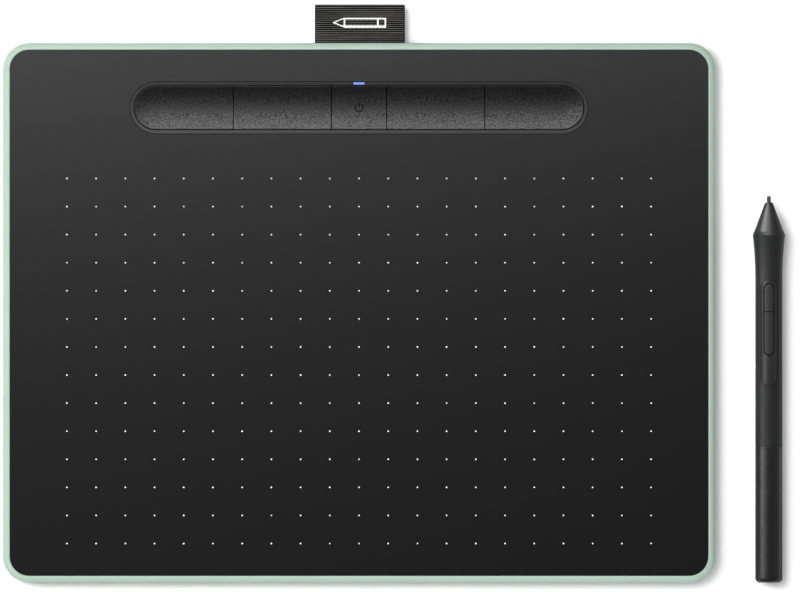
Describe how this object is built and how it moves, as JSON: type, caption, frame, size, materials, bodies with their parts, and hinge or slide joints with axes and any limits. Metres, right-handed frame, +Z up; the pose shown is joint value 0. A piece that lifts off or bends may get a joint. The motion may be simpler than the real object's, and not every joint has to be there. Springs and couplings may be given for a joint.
{
  "type": "pen drawing tablet",
  "caption": "Slim pen drawing tablet with a row of dished press keys along the back, a fabric pen loop and a battery-free pen lying beside it.",
  "frame": {"origin": "centre of the whole set's footprint, tablet, carry loop and pen together, on the desk plane under the feet", "axes": "+X to the right along the tablet's long side, towards the pen; +Y to the back edge with the keys and the carry loop; +Z up"},
  "size_m": [0.29, 0.2145, 0.012],
  "materials": {
    "case_green": "satin",
    "panel_black": "matte",
    "foot_rubber": "matte",
    "screw_steel": "satin",
    "key_black": "fine grain",
    "frame_black": "satin",
    "light_blue": "clear, lit blue from inside",
    "led_white": "satin",
    "board_green": "solder mask",
    "mask_black": "matte film",
    "switch_metal": "satin",
    "chip_black": "matte",
    "can_metal": "satin",
    "module_blue": "solder mask",
    "socket_steel": "satin",
    "shield_foil": "satin",
    "flex_amber": "satin",
    "connector_cream": "matte",
    "cell_foil": "satin",
    "tape_cream": "matte",
    "lead_red": "satin",
    "plug_white": "matte",
    "ribbon_black": "ribbed weave",
    "clamp_grey": "matte",
    "pen_black": "satin",
    "pen_plate_black": "satin",
    "pen_button_black": "satin",
    "pen_tail_black": "fine grain",
    "nib_black": "satin",
    "inner_grey": "matte",
    "ferrite": "matte",
    "coil_copper": "wound wire",
    "sensor_ceramic": "satin"
  },
  "bodies": {
    "tablet": {"bottom_cover": "case_green", "top_panel": "panel_black", "rubber_feet": "foot_rubber", "case_screws": "screw_steel", "key_frame": "frame_black", "key_light_mask": "mask_black", "status_light_guide": "light_blue", "status_led": "led_white", "main_board": "board_green", "board_screws": "screw_steel", "key_switches": "switch_metal", "controller_chips": "chip_black", "shield_can": "can_metal", "radio_module": "module_blue", "usb_socket": "socket_steel", "sensor_board": "board_green", "sensor_shield": "shield_foil", "flex_cable": "flex_amber", "flex_connectors": "connector_cream", "battery_cell": "cell_foil", "battery_tape": "tape_cream", "battery_leads": "lead_red", "battery_plug": "plug_white", "loop_tag": "ribbon_black", "loop_clamp": "clamp_grey"},
    "key_outer_left": {"key_outer_left": "key_black"},
    "key_inner_left": {"key_inner_left": "key_black"},
    "power_key": {"power_key": "key_black"},
    "key_inner_right": {"key_inner_right": "key_black"},
    "key_outer_right": {"key_outer_right": "key_black"},
    "pen": {"pen_barrel": "pen_black", "pen_cone": "pen_black", "pen_switch_plate": "pen_plate_black", "pen_core_frame": "inner_grey", "pen_ferrite_rod": "ferrite", "pen_coil": "coil_copper", "pen_pressure_sensor": "sensor_ceramic", "pen_board": "board_green", "pen_dome_switches": "switch_metal", "nib_holder": "inner_grey", "spare_nibs": "nib_black"},
    "pen_nib": {"pen_nib": "nib_black"},
    "pen_upper_switch": {"pen_upper_switch": "pen_button_black"},
    "pen_lower_switch": {"pen_lower_switch": "pen_button_black"},
    "pen_rear_barrel": {"pen_rear_barrel": "pen_tail_black"}
  },
  "joints": [
    {"name": "key_outer_left_press", "type": "slide", "parent": "tablet", "child": "key_outer_left", "axis": [0, 0, -1], "range_m": [0, 0.0004], "stiffness_N_per_m": 3500},
    {"name": "key_inner_left_press", "type": "slide", "parent": "tablet", "child": "key_inner_left", "axis": [0, 0, -1], "range_m": [0, 0.0004], "stiffness_N_per_m": 3500},
    {"name": "power_key_press", "type": "slide", "parent": "tablet", "child": "power_key", "axis": [0, 0, -1], "range_m": [0, 0.0004], "stiffness_N_per_m": 3500},
    {"name": "key_inner_right_press", "type": "slide", "parent": "tablet", "child": "key_inner_right", "axis": [0, 0, -1], "range_m": [0, 0.0004], "stiffness_N_per_m": 3500},
    {"name": "key_outer_right_press", "type": "slide", "parent": "tablet", "child": "key_outer_right", "axis": [0, 0, -1], "range_m": [0, 0.0004], "stiffness_N_per_m": 3500},
    {"name": "pen_lift", "type": "slide", "parent": "tablet", "child": "pen", "axis": [0, 0, 1], "range_m": [0, 0.06]},
    {"name": "pen_nib_press", "type": "slide", "parent": "pen", "child": "pen_nib", "axis": [0, -1, -0.008], "range_m": [0, 0.0003], "stiffness_N_per_m": 2000},
    {"name": "pen_upper_switch_press", "type": "slide", "parent": "pen", "child": "pen_upper_switch", "axis": [0, 0.008, -1], "range_m": [0, 0.00025], "stiffness_N_per_m": 4000},
    {"name": "pen_lower_switch_press", "type": "slide", "parent": "pen", "child": "pen_lower_switch", "axis": [0, 0.008, -1], "range_m": [0, 0.00025], "stiffness_N_per_m": 4000},
    {"name": "pen_rear_pull", "type": "slide", "parent": "pen", "child": "pen_rear_barrel", "axis": [0, -1, -0.008], "range_m": [0, 0.048]}
  ]
}
